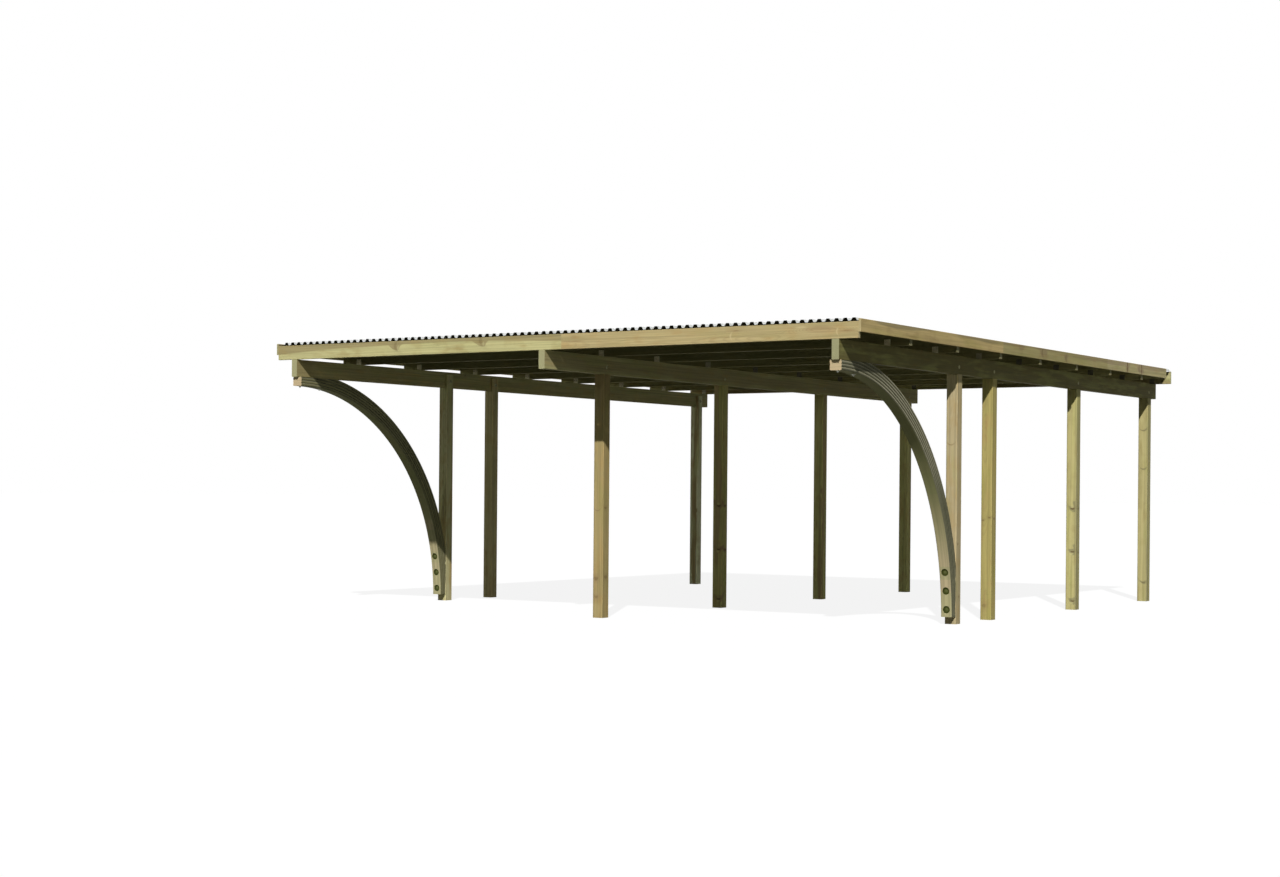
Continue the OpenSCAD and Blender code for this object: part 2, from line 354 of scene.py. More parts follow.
# Each mark is a point from the middle of the post's foot, half its width and length, and how dark it is
# In these, the marks below zero are painted highlights beside the knots
WHORLS = (((0.012, FRONT, 0.934), 0.016, 0.014, -0.5), ((0.013, FRONT, 0.915), 0.024, 0.008, 0.9),
          ((0.008, FRONT, 0.508), 0.018, 0.014, -0.55), ((0.016, FRONT, 0.524), 0.022, 0.008, 0.9),
          ((0.012, FRONT, 0.062), 0.018, 0.012, -0.5), ((0.020, FRONT, 0.078), 0.022, 0.008, 0.85),
          ((SIDE, 0.006, 0.916), 0.018, 0.008, 0.6), ((SIDE, 0.011, 0.519), 0.018, 0.008, 0.6))
POST_MARKS = {
    "post_middle_1": (
        ((-0.007, FRONT, 0.880), 0.036, 0.004, 0.35), ((SIDE, -0.011, 0.902), 0.022, 0.010, 0.5),
        ((-0.016, FRONT, 0.321), 0.024, 0.018, 0.5), ((SIDE, -0.002, 0.335), 0.024, 0.016, 0.5),
        ((-0.014, FRONT, 0.171), 0.022, 0.013, 0.4), ((-0.010, FRONT, 0.060), 0.050, 0.070, -0.5),
        # The last mark is painted shade at the top of the post, under the beam
        ((0.000, FRONT, 1.960), 0.080, 0.090, 0.35)),
    "post_middle_2": WHORLS,
    "post_right_1": (
        ((-0.003, FRONT, 1.434), 0.028, 0.003, 0.45), ((SIDE, -0.015, 0.640), 0.010, 0.005, 0.5),
        ((SIDE, 0.010, 0.218), 0.008, 0.008, 0.5)),
    "post_right_2": (
        ((0.028, FRONT, 0.848), 0.013, 0.007, 0.6), ((-0.032, FRONT, 0.825), 0.018, 0.006, 0.5),
        ((SIDE, 0.002, 0.837), 0.016, 0.006, 0.5), ((-0.013, FRONT, 0.117), 0.020, 0.018, 0.35)),
    "post_right_3": WHORLS,
    "post_right_4": (
        ((0.003, FRONT, 1.680), 0.036, 0.003, 0.4), ((0.006, FRONT, 1.300), 0.034, 0.003, 0.4),
        ((0.016, FRONT, 0.183), 0.030, 0.004, 0.55)),
}
POST_HEART_R = 0.030
HEART_OFF = 0.035
HEART_TURNS = {"post_right_1": 2.4, "post_right_2": 2.0}
ROW_TURN = 2.1
POST_TURN = 1.3
ROW_SEED = 3.7
# These two show grey heartwood on their right sides, darkening those sides as painted shade
SIDE_HEARTED = ("post_right_3", "post_right_4")
SIDE_PITH = (0.060, 0.0)
SIDE_HEART_R = 0.050
SIDE_WANDER = 0.02
for row_number, row in enumerate(ROWS):
    for number, sap in enumerate(POST_TONES[row], start=1):
        post = f"post_{row}_{number}"
        turn = HEART_TURNS.get(post, ROW_TURN * row_number + POST_TURN * number)
        pith = (HEART_OFF * math.cos(turn), HEART_OFF * math.sin(turn))
        heart_r, heart, wander = (POST_HEART_R, POST_HEART, WANDER)
        if post in SIDE_HEARTED:
            pith, heart_r, heart, wander = (SIDE_PITH, SIDE_HEART_R, POST_GREY, SIDE_WANDER)
        low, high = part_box(post)
        foot = Vector(((low[0] + high[0]) / 2, (low[1] + high[1]) / 2, low[2]))
        marks = [(foot + Vector(point), *shape) for point, *shape in POST_MARKS.get(post, ())]
        treated_pine(post, "Z", pith, heart_r, sap, heart, ROW_SEED * row_number + number,
                     0.0 if marks else KNOT_SIZE, marks, wander)


# Beams
# One long planed pine beam on each row, seated in the posts' notches and bolted to their tongues.
# The ends are sawn square and show the rings. The left beam is paler, as painted light on its shaded length,
# and darker near its front end, as painted shade where the sun falls. The right beam is darker, partly its
# tone and partly painted shade under the roof's overhang.
BEAM_SAP = (0.385, 0.345, 0.165, 1.0)
# The left heart is painted paler as light, the right darker, partly as painted shade
BEAM_HEARTS = {"left": (0.410, 0.350, 0.165, 1.0), "middle": (0.325, 0.275, 0.135, 1.0),
               "right": (0.125, 0.109, 0.038, 1.0)}
BEAM_HEART_R = {"left": 0.060, "middle": 0.060, "right": 0.200}
BEAM_PITHS = {"left": (0.06, -0.03), "middle": (0.06, 0.0), "right": (0.06, 0.03)}
BEAM_SEED = 21.0
# A painted shade over the sunlit front end of the left beam
DARK_END = 0.34
DARK_END_BACK = 0.06
DARK_END_HALF_WIDTH = 0.12
DARK_END_HALF_LENGTH = 0.14
for number, row in enumerate(ROWS):
    beam = f"beam_{row}"
    marks = []
    if row == "left":
        low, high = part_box(beam)
        dark_at = (high[0], low[1] + DARK_END_BACK, (low[2] + high[2]) / 2)
        marks = [(dark_at, DARK_END_HALF_WIDTH, DARK_END_HALF_LENGTH, DARK_END)]
    treated_pine(beam, "Y", BEAM_PITHS[row], BEAM_HEART_R[row], BEAM_SAP, BEAM_HEARTS[row],
                 BEAM_SEED + number, marks=marks)


# Post bolts
# One bolt through each beam and the tongue beside it, with a low domed head on the beam and a
# washer and nut on the tongue. The zinc has turned dull and greenish.
ZINC_DULL = (0.400, 0.375, 0.215, 1.0)
ZINC_DARK = (0.290, 0.275, 0.155, 1.0)
ZINC_STAIN_TINT = (0.62, 0.60, 0.55)
ZINC_FLAKES = 160.0
ZINC_STAINS = 35.0
ZINC_GLOSS = 0.05
DULL_METAL = 0.15
SHADE_BACK_FROM = -1.9
SHADE_BACK_TO = 0.2


def galvanised(name, pale, grey, metal, shade_back=0.0):
    """Zinc in flakes of two tones. The last argument is how much painted shade darkens it toward the rear."""
    finish, wire = new_finish(name)
    spot = place_on(wire)
    flake = spot.node("TexVoronoi", {}, {"Vector": spot, "Scale": ZINC_FLAKES}, "Color")
    luck = flake.node("SeparateColor", {}, {0: flake})
    stain = spot.node("TexNoise", {}, {"Vector": spot, "Scale": ZINC_STAINS, "Detail": 3.0}, 0)
    colour = mixed(luck["Red"], grey, pale)
    colour = mixed(fade(stain, 0.50, 0.72) * 0.5, colour, tinted(grey, *ZINC_STAIN_TINT))
    # Painted shade: darker toward the rear by the last argument
    colour = shaded(colour, 1.0 - fade(in_three(spot)["Y"], SHADE_BACK_FROM, SHADE_BACK_TO) * shade_back)
    rough = 0.44 + luck["Green"] * 0.16 + stain * 0.12
    lay_on(finish, colour, rough, ZINC_GLOSS, metal=metal)
    return finish


LEVEL = 1e-5


def pick_top(piece):
    """Goes into edit mode with only the faces at the top of the piece selected."""
    bpy.ops.object.mode_set(mode="EDIT")
    bpy.ops.mesh.select_mode(type="FACE")
    bpy.ops.mesh.select_all(action="DESELECT")
    bpy.ops.object.mode_set(mode="OBJECT")
    top = max(corner.co.z for corner in piece.data.vertices)
    for face in piece.data.polygons:
        face.select = all(piece.data.vertices[k].co.z > top - LEVEL for k in face.vertices)
    bpy.ops.object.mode_set(mode="EDIT")


def turned(sides, radius, base, rim, steps):
    """A round or six-sided piece on the Z axis, from its base up to its rim's height.

    Each step then narrows the top face and lifts it.
    """
    bpy.ops.object.select_all(action="DESELECT")
    bpy.ops.mesh.primitive_cylinder_add(vertices=sides, radius=radius, depth=rim,
                                        location=(0.0, 0.0, base + rim / 2))
    piece = bpy.context.object
    bpy.ops.object.transform_apply(location=True)
    pick_top(piece)
    for narrower, lift in steps:
        bpy.ops.mesh.inset(thickness=narrower)
        bpy.ops.transform.translate(value=(0.0, 0.0, lift))
    bpy.ops.object.mode_set(mode="OBJECT")
    return piece


def joined(name, pieces):
    """Makes several pieces one."""
    bpy.ops.object.select_all(action="DESELECT")
    for piece in pieces:
        piece.select_set(True)
    bpy.context.view_layer.objects.active = pieces[0]
    if len(pieces) > 1:
        bpy.ops.object.join()
    whole = bpy.context.object
    whole.name = name
    return whole


SMOOTH_BELOW = math.radians(35.0)


def fastened(name, model, finish, places):
    """Copies a model to places, each a point and the way its top looks, as one piece, and drops the model."""
    copies = []
    for point, way in places:
        copy = model.copy()
        copy.data = model.data.copy()
        turn = Vector((0.0, 0.0, 1.0)).rotation_difference(Vector(way)).to_matrix().to_4x4()
        copy.data.transform(Matrix.Translation(point) @ turn)
        bpy.context.collection.objects.link(copy)
        copies.append(copy)
    bpy.data.objects.remove(model)
    whole = joined(name, copies)
    bpy.ops.object.shade_smooth_by_angle(angle=SMOOTH_BELOW)
    whole.data.materials.clear()
    whole.data.materials.append(finish)
    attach(whole, "root")


ROUND = 24
HEXAGON = 6
WASHER_T = 0.0018
WASHER_LIP = (0.0010, 0.0004)
WASHER_RISE = 0.0002
UNDER_NUT_R = 0.0105
NUT_R = 0.0098
NUT_BASE = 0.0022
NUT_H = 0.0072
NUT_STEPS = ((0.0012, 0.0008), (0.0018, 0.0002))
BOLT_SIDES = 12
BOLT_R = 0.0050
BOLT_BASE = 0.0080
BOLT_OUT = 0.0072
BOLT_STEPS = ((0.0009, 0.0007),)


def nut_and_end(washer_r):
    """Washer, six-sided nut and the bolt's end, with the washer's underside at Z = 0."""
    washer = turned(ROUND, washer_r, 0.0, WASHER_T, (WASHER_LIP, (washer_r - UNDER_NUT_R, WASHER_RISE)))
    nut = turned(HEXAGON, NUT_R, NUT_BASE, NUT_H, NUT_STEPS)
    end = turned(BOLT_SIDES, BOLT_R, BOLT_BASE, BOLT_OUT, BOLT_STEPS)
    return joined("nut", [washer, nut, end])


BOLT_H = 0.058
HEAD_SIDES = 16
HEAD_R = 0.014
HEAD_RIM = 0.0012
HEAD_STEPS = ((0.0028, 0.0016), (0.0045, 0.0010), (0.0035, 0.0004))
BEAM_WASHER_R = 0.017
TO_LEFT = (-1.0, 0.0, 0.0)
TO_RIGHT = (1.0, 0.0, 0.0)
dull_zinc = galvanised("dull_zinc", ZINC_DULL, ZINC_DARK, DULL_METAL)
heads, nuts = [], []
for row in ROWS:
    beam_low, beam_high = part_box(f"beam_{row}")
    for number in range(1, len(POST_TONES[row]) + 1):
        post_low, post_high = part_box(f"post_{row}_{number}")
        y = (post_low[1] + post_high[1]) / 2
        z = beam_low[2] + BOLT_H
        if row == "left":
            heads.append(((beam_low[0], y, z), TO_LEFT))
            nuts.append(((post_high[0], y, z), TO_RIGHT))
        else:
            heads.append(((beam_high[0], y, z), TO_RIGHT))
            nuts.append(((post_low[0], y, z), TO_LEFT))
fastened("beam_bolt_heads", turned(HEAD_SIDES, HEAD_R, 0.0, HEAD_RIM, HEAD_STEPS), dull_zinc, heads)
fastened("beam_bolt_nuts", nut_and_end(BEAM_WASHER_R), dull_zinc, nuts)


# Arches
# Pine layers bent round a form and glued, each with its edges chamfered, so that the layers show as
# stripes along the sides, with painted highlights on the stripes where the sun falls. Each is cut flat to
# bear on its post and under its beam.
LAYERS = 5
LAYER_T = 0.0236
ARCH_R = 1.996
INNER_R = ARCH_R - LAYERS * LAYER_T
# Lengths along the layers are measured at this radius
GRAIN_R = INNER_R + 0.04
POST_SEAT = 0.048
BEAM_SEAT = 0.042
BLOCK = 0.107
ARCH_RING = 0.006
LAYER_STREAKS = (60.0, 1.4)
LAYER_DRIFTS = (6.0, 0.9)
LAYER_WANDER = 0.06
LAYER_SHIFT = 0.37
LAYER_PALE = (0.425, 0.378, 0.200, 1.0)
LAYER_GREY = (0.290, 0.275, 0.150, 1.0)
LAYER_PINK = (0.510, 0.395, 0.245, 1.0)
LAYER_EDGE = (0.145, 0.140, 0.086, 1.0)
# Painted highlight on the chamfers that look up
CHAMFER_HIGHLIGHT = (0.430, 0.410, 0.270, 1.0)
# The left arch's sides are paler, as painted light in the roof's shade
SIDE_TONES = {"left": ((0.185, 0.172, 0.080, 1.0), (0.235, 0.212, 0.100, 1.0)),
              "right": ((0.088, 0.089, 0.054, 1.0), (0.118, 0.114, 0.068, 1.0))}
# Painted highlight on the outer half of each layer, where the sun falls on the sides
SIDE_HIGHLIGHT = (0.470, 0.430, 0.305, 1.0)
# How strong these painted highlights are on each arch
HIGHLIGHT_STRENGTH = {"left": 0.30, "right": 0.80}
# Painted shade on the upper underside and back of each arch
SOFFIT_SHADE = (0.205, 0.208, 0.085, 1.0)
GLUE_DARK = (0.050, 0.044, 0.024, 1.0)
END_PINK = (0.520, 0.400, 0.235, 1.0)
RECESS_GREEN = (0.060, 0.068, 0.018, 1.0)
RECESSES = 3
FIRST_RECESS = 0.119
RECESS_STEP = 0.149
RECESSES_TOP = FIRST_RECESS + (RECESSES - 0.5) * RECESS_STEP
RIM_DARK_R = 0.0285
RIM_DARK_EDGE = 0.003
ARCH_SEEDS = {"left": 5.0, "right": 16.0}


def ring_middle(arch):
    """The Y and Z of the middle of the ring that an arch is cut from."""
    rear_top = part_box(arch)[1]
    return rear_top[1] + POST_SEAT - ARCH_R, rear_top[2] + BEAM_SEAT - ARCH_R


def above_recess(height):
    """How far a height is above the nearest recess, as if their row ran on."""
    return height.node("Math", {"operation": "WRAP"},
                       {0: height - FIRST_RECESS, 1: RECESS_STEP / 2, 2: -RECESS_STEP / 2})


def laminated_pine(arch, seed, side_tones, highlight_strength):
    """Bent and glued layers on one arch. The last argument is how strong the painted highlights are on the
    sides' sunlit part.
    """
    finish, wire = new_finish(arch + "_layers")
    parts = in_three(place_on(wire))
    low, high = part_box(arch)
    ring_y, ring_z = ring_middle(arch)
    across = parts["X"] - (low[0] + high[0]) / 2
    back = parts["Y"] - ring_y
    up = parts["Z"] - ring_z
    out_y = change(back, "MAXIMUM", 0.0)
    out_z = change(up, "MAXIMUM", 0.0)
    radius = change(out_y * out_y + out_z * out_z, "SQRT")
    arc = change(out_z, "ARCTAN2", out_y) * GRAIN_R
    arc = arc + change(up, "MINIMUM", 0.0) - change(back, "MINIMUM", 0.0)
    climb = out_z / INNER_R
    depth = (radius - INNER_R) / LAYER_T
    layer = change(change(depth + 0.02, "FLOOR"), "MAXIMUM", 0.0)
    within = change(depth, "FRACT")
    luck = layer.node("TexWhiteNoise", {"noise_dimensions": "1D"}, {"W": layer + seed}, "Color")
    lucky = luck.node("SeparateColor", {}, {0: luck})
    block = change(arc / BLOCK + layer * LAYER_SHIFT, "FLOOR")
    block_at = layer.node("CombineXYZ", {}, {0: block, 1: layer + seed})
    patch = layer.node("TexWhiteNoise", {"noise_dimensions": "2D"}, {"Vector": block_at}, 0)
    streak = cloud(across * LAYER_STREAKS[0] + layer * 3.3, depth * 1.1 + seed,
                   arc * LAYER_STREAKS[1] + layer * 5.7)
    fibre = cloud(across * FIBRES[0], depth * 6.0, arc * FIBRES[1] + layer * 9.0, 3.0)
    drift = cloud(across * LAYER_DRIFTS[0] + layer * 2.7, depth * 0.2, arc * LAYER_DRIFTS[1] + seed)
    late = latewood((across + (drift - 0.5) * LAYER_WANDER) / ARCH_RING + layer * LAYER_SHIFT)

    # The underside and the back, darker and greener toward the head as painted shade
    colour = mixed(lucky["Red"] * 0.5, LAYER_PALE, LAYER_GREY)
    colour = mixed(fade(patch, 0.2, 0.9) * 0.65, colour, LAYER_PINK)
    colour = shaded(colour, fade(streak, 0.25, 0.75) * 0.40 + 0.78)
    colour = mixed(late * 0.25, colour, LAYER_GREY)
    colour = mixed(fade(climb, 0.22, 0.55) * 0.75, colour, SOFFIT_SHADE)

    # The sides, the layers' chamfers and the glue between them, with painted highlights on the sunlit layers
    # and on the chamfers that look up
    sideways = squarely(wire, "X")
    side = fade(sideways, 0.80, 0.95)
    side_colour = mixed(lucky["Green"] * 0.6, side_tones[0], side_tones[1])
    side_colour = shaded(side_colour, fade(streak, 0.25, 0.75) * 0.45 + 0.75)
    # Painted highlight: the part of the sides that the sun reaches, less at the head
    sunlit_part = fade(climb, 0.45, 0.70) * (1.0 - fade(climb, 0.95, 1.0) * 0.55)
    painted_highlight = fade(within, 0.35, 0.65) * sunlit_part * highlight_strength
    side_colour = mixed(painted_highlight, side_colour, SIDE_HIGHLIGHT)
    colour = mixed(side, colour, side_colour)
    skyward = fade(facing(wire)["Z"], 0.25, 0.60)
    chamfer = fade(sideways, 0.45, 0.60) * (1.0 - side)
    chamfer_colour = mixed(skyward * highlight_strength, LAYER_EDGE, CHAMFER_HIGHLIGHT)
    colour = mixed(chamfer * 0.8, colour, chamfer_colour)
    seam = fade(change(within - 0.5, "ABSOLUTE"), 0.38, 0.46)
    seam = seam * (fade(depth, 0.3, 0.6) * (1.0 - fade(depth, LAYERS - 0.6, LAYERS - 0.3)))
    glue = seam * fade(sideways, 0.1, 0.3)
    colour = mixed(glue, colour, GLUE_DARK)

    # The sawn head
    head = fade(squarely(wire, "Y"), 0.90, 0.99) * fade(out_z, INNER_R - 0.05, INNER_R - 0.01)
    end_colour = mixed(late * 0.3, END_PINK, LAYER_PINK)
    end_colour = mixed(seam * 0.5, end_colour, LAYER_GREY)
    colour = mixed(head, colour, end_colour)

    # The recesses in the foot, dark green in and round their rims
    rise = above_recess(parts["Z"])
    from_recess = change(rise * rise + across * across, "SQRT")
    rim_dark = 1.0 - fade(from_recess, RIM_DARK_R, RIM_DARK_R + RIM_DARK_EDGE)
    rim_dark = rim_dark * (1.0 - fade(parts["Z"], RECESSES_TOP - 0.02, RECESSES_TOP))
    colour = mixed(rim_dark, colour, RECESS_GREEN)

    rough = 0.60 + fibre * 0.24
    relief = fibre * 0.6 + late * 0.4 - glue * 0.8
    lay_on(finish, colour, rough, WOOD_GLOSS, relief, WOOD_RELIEF, WOOD_RELIEF_DEPTH)
    wear(arch, finish)


for side in ("left", "right"):
    laminated_pine(f"arch_{side}", ARCH_SEEDS[side], SIDE_TONES[side], HIGHLIGHT_STRENGTH[side])


# Arch bolts
# Three bolts in the recesses of each foot, each under a round green cap with a raised middle, and
# two bolts up through each head into the beam, whose washers and nuts show under the curve.
CAP_GREEN = (0.048, 0.054, 0.010, 1.0)
CAP_MIDDLE = (0.092, 0.100, 0.032, 1.0)
CAP_R = 0.0253
CAP_RIM = 0.0385
CAP_STEPS = ((0.0030, 0.0015), (0.0085, -0.0010), (0.0040, 0.0024), (0.0030, 0.0008))
CAP_MIDDLE_R = 0.006
CAP_RING_R = 0.021
CAP_GRIME = 120.0
CAP_SMUDGE = 0.006
CAP_GLOSS = 0.08
ZINC_PALE = (0.460, 0.455, 0.380, 1.0)
ZINC_GREY = (0.300, 0.300, 0.250, 1.0)
BRIGHT_METAL = 0.55
RECESS_DEPTH = 0.045
HEAD_BOLTS = (0.033, 0.276)
ARCH_WASHER_R = 0.018
TO_FRONT = (0.0, -1.0, 0.0)
DOWN = (0.0, 0.0, -1.0)


def green_cap(name, across_at):
    """Moulded caps, paler in the middle. across_at is how far the arches stand from the carport's middle."""
    finish, wire = new_finish(name)
    spot = place_on(wire)
    parts = in_three(spot)
    rise = above_recess(parts["Z"])
    aside = change(change(parts["X"], "ABSOLUTE") - across_at, "ABSOLUTE")
    out = change(rise * rise + aside * aside, "SQRT")
    grime = spot.node("TexNoise", {}, {"Vector": spot, "Scale": CAP_GRIME, "Detail": 3.0}, 0)
    colour = mixed(fade(out + (grime - 0.5) * CAP_SMUDGE, CAP_MIDDLE_R, CAP_RING_R), CAP_MIDDLE, CAP_GREEN)
    colour = shaded(colour, grime * 0.4 + 0.8)
    rough = 0.55 + grime * 0.25
    lay_on(finish, colour, rough, CAP_GLOSS)
    return finish


foot_bolts, head_bolts = [], []
for side in ("left", "right"):
    low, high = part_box(f"arch_{side}")
    x = (low[0] + high[0]) / 2
    ring_y, ring_z = ring_middle(f"arch_{side}")
    for number in range(RECESSES):
        z = FIRST_RECESS + number * RECESS_STEP
        y = ring_y + math.sqrt(INNER_R ** 2 - (z - ring_z) ** 2) + RECESS_DEPTH
        foot_bolts.append(((x, y, z), TO_FRONT))
    for back in HEAD_BOLTS:
        y = low[1] + back
        z = ring_z + math.sqrt(INNER_R ** 2 - (y - ring_y) ** 2)
        head_bolts.append(((x, y, z), DOWN))
cap = turned(ROUND, CAP_R, 0.0, CAP_RIM, CAP_STEPS)
fastened("arch_foot_caps", cap, green_cap("cap_green", abs(x)), foot_bolts)
bright_zinc = galvanised("bright_zinc", ZINC_PALE, ZINC_GREY, BRIGHT_METAL)
fastened("arch_head_bolts", nut_and_end(ARCH_WASHER_R), bright_zinc, head_bolts)


# Rafters
# Narrow planed pine set on edge across the three beams, under the roof sheets, paler toward the rear,
# which paints the shade darker toward the front. Their ends show below the side boards, painted dark as
# shade.
RAFTERS = 7
# A dark sapwood, so that the sawn ends show as painted shade
RAFTER_SHADED_SAP = (0.190, 0.165, 0.080, 1.0)
RAFTER_HEART = (0.265, 0.242, 0.112, 1.0)
RAFTER_HEART_R = 0.160
# Painted shade: the rafters nearer the front are darker
RAFTER_SHADE = 0.62
RAFTER_PALER = 0.15
RAFTER_PITH_BACK = 0.05
RAFTER_PITH_UP = 0.04
RAFTER_PITH_DROP = 0.015
RAFTER_SEED = 31.0
for number in range(1, RAFTERS + 1):
    shade = RAFTER_SHADE + RAFTER_PALER * number
    pith = (RAFTER_PITH_BACK, RAFTER_PITH_UP - RAFTER_PITH_DROP * number)
    treated_pine(f"rafter_{number}", "X", pith, RAFTER_HEART_R, RAFTER_SHADED_SAP,
                 tinted(RAFTER_HEART, shade, shade, shade), RAFTER_SEED + number)


# Front and rear boards
# Planed pine boards on edge over the beams' ends, in two lengths each that are butted.
# One length of the front board has a dark heart along its top edge that dips at its knots.
BOARD_GREEN = (0.520, 0.480, 0.232, 1.0)
BOARD_OLIVE = (0.340, 0.282, 0.136, 1.0)
BOARD_TAN = (0.465, 0.372, 0.182, 1.0)
BOARD_BROWN = (0.420, 0.315, 0.155, 1.0)
FACE_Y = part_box("front_board_left")[0][1]
FRONT_LEFT_MARKS = (
    ((-1.49, FACE_Y, 2.228), 0.045, 0.016, 0.30), ((-1.46, FACE_Y, 2.205), 0.030, 0.012, -0.25),
    ((-0.60, FACE_Y, 2.238), 0.032, 0.018, 0.32), ((-0.57, FACE_Y, 2.215), 0.022, 0.010, -0.25))
FRONT_RIGHT_MARKS = (
    ((0.32, FACE_Y, 2.246), 0.012, 0.028, 0.14), ((0.34, FACE_Y, 2.206), 0.003, 0.050, 0.20),
    ((1.735, FACE_Y, 2.195), 0.034, 0.008, -0.60), ((1.785, FACE_Y, 2.235), 0.003, 0.024, 0.30),
    ((2.33, FACE_Y, 2.240), 0.010, 0.050, -0.55), ((2.50, FACE_Y, 2.236), 0.018, 0.080, 0.10),
    ((2.62, FACE_Y, 2.200), 0.034, 0.008, -0.55), ((2.70, FACE_Y, 2.205), 0.004, 0.034, 0.30))
STRAIGHT_WANDER = 0.02
HEART_BOW = (0.0174, 0.23)
treated_pine("front_board_left", "X", pith=(0.0, 0.110), heart_r=0.078, sap=BOARD_GREEN, heart=BOARD_OLIVE,
             seed=51.0, knots=0.0, marks=FRONT_LEFT_MARKS, wander=STRAIGHT_WANDER, bow=HEART_BOW, salts=0.12)
treated_pine("front_board_right", "X", pith=(0.06, -0.02), heart_r=0.045, sap=BOARD_TAN, heart=BOARD_BROWN,
             seed=52.0, knots=0.0, marks=FRONT_RIGHT_MARKS, salts=0.25)
treated_pine("rear_board_left", "X", pith=(0.05, 0.06), heart_r=0.060, sap=BOARD_TAN, heart=BOARD_BROWN,
             seed=53.0)
treated_pine("rear_board_right", "X", pith=(0.03, -0.07), heart_r=0.060, sap=BOARD_GREEN, heart=BOARD_OLIVE,
             seed=54.0)


# Side boards
# Planed pine boards fixed to the rafters' ends, nearly up to the tops of the sheets' ribs,
# with a butt joint over one rafter. The last stretch of the rear length is paler.
SIDE_TAN = (0.500, 0.380, 0.170, 1.0)
SIDE_OLIVE = (0.365, 0.314, 0.140, 1.0)
SIDE_HEART = (0.300, 0.240, 0.120, 1.0)
BOARD_TONES = {"left": {"front": SIDE_OLIVE, "rear": SIDE_TAN},
               "right": {"front": SIDE_TAN, "rear": SIDE_OLIVE}}
BOARD_SEEDS = {"left": {"front": 61.0, "rear": 62.0}, "right": {"front": 63.0, "rear": 64.0}}
BOARD_PITH = (0.05, 0.05)
BOARD_HEART_R = 0.05
BOARD_KNOT_SIZE = 0.03
# How far back from the roof's front edge, how high and how dark
SIDE_KNOTS = ((2.460, 2.245, 0.5), (3.365, 2.250, 0.5), (3.908, 2.235, 0.5), (5.452, 2.268, 1.0),
              (5.452, 2.222, 1.0), (5.770, 2.245, 0.4), (5.837, 2.268, 1.0), (5.837, 2.222, 1.0))
SIDE_KNOT_HALF_WIDTH = 0.030
SIDE_KNOT_HALF_LENGTH = 0.013
PALER_BACK = 4.93
roof_front = cad_box[0][1]
for side, tones in BOARD_TONES.items():
    for end, sap in tones.items():
        board = f"side_board_{side}_{end}"
        marks, paler_past = ([], None)
        if end == "rear":
            low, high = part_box(board)
            face_x = low[0] if side == "left" else high[0]
            marks = [((face_x, roof_front + back, rise), SIDE_KNOT_HALF_WIDTH, SIDE_KNOT_HALF_LENGTH, dark)
                     for back, rise, dark in SIDE_KNOTS]
            paler_past = roof_front + PALER_BACK
        treated_pine(board, "Y", BOARD_PITH, BOARD_HEART_R, sap, SIDE_HEART, BOARD_SEEDS[side][end],
                     BOARD_KNOT_SIZE, marks, paler_past=paler_past)


# Angle brackets
# Galvanised steel plate bent to a right angle, nailed to each rafter and to the beam under it.
# In the middle and right rows the zinc is darker toward the rear, as painted shade under the roof.
PLATE_PALE = (0.680, 0.620, 0.420, 1.0)
PLATE_GREY = (0.540, 0.495, 0.335, 1.0)
PLATE_METAL = 0.10
PLATES_SHADE_BACK = {"left": 0.0, "middle": 0.6, "right": 0.75}
BRACKET_T = 0.0025
NAIL_OUT = 0.032
NAIL_APART = 0.014
NAIL_SIDES = 8
NAIL_R = 0.0048
NAIL_RIM = 0.0007
NAIL_STEPS = ((0.0016, 0.0006), (0.0018, 0.0002))
UP = (0.0, 0.0, 1.0)
carried = [f"rafter_{number}" for number in range(1, RAFTERS + 1)] + ["rear_board_right"]
nails = []
for row in ROWS:
    plate_zinc = galvanised(f"plate_zinc_{row}", PLATE_PALE, PLATE_GREY, PLATE_METAL, PLATES_SHADE_BACK[row])
    wear(f"brackets_{row}", plate_zinc)
    beam_low, beam_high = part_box(f"beam_{row}")
    x = (beam_low[0] + beam_high[0]) / 2
    top = beam_high[2]
    for timber in carried:
        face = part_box(timber)[0][1]
        for across in (-NAIL_APART, NAIL_APART):
            nails.append(((x + across, face - NAIL_OUT, top + BRACKET_T), UP))
            nails.append(((x + across, face - BRACKET_T, top + NAIL_OUT), TO_FRONT))
fastened("bracket_nails", turned(NAIL_SIDES, NAIL_R, 0.0, NAIL_RIM, NAIL_STEPS), plate_zinc, nails)


# Roof sheets
# Trapezoidal plastic sheets with their ribs running back, each lapped over the next by one rib.
# They are pale grey above, with dirt along the valleys, and black underneath as painted shade.
SHEETS = 6
SHEET_SHADE_BLACK = (0.026, 0.026, 0.018, 1.0)
SHEET_PALE = (0.68, 0.69, 0.68, 1.0)
SHEET_DIRT = (0.36, 0.36, 0.31, 1.0)
SHEET_GLOSS = 0.05
SHEET_RELIEF = 0.15
SHEET_RELIEF_DEPTH = 0.0005
SHEET_SEED = 1.7
# How many to a metre, across the ribs and along them
DIRT_RUNS = (14.0, 0.7)
SPECKS = (160.0, 120.0)
VALLEY_FROM = 0.002
VALLEY_TO = 0.010


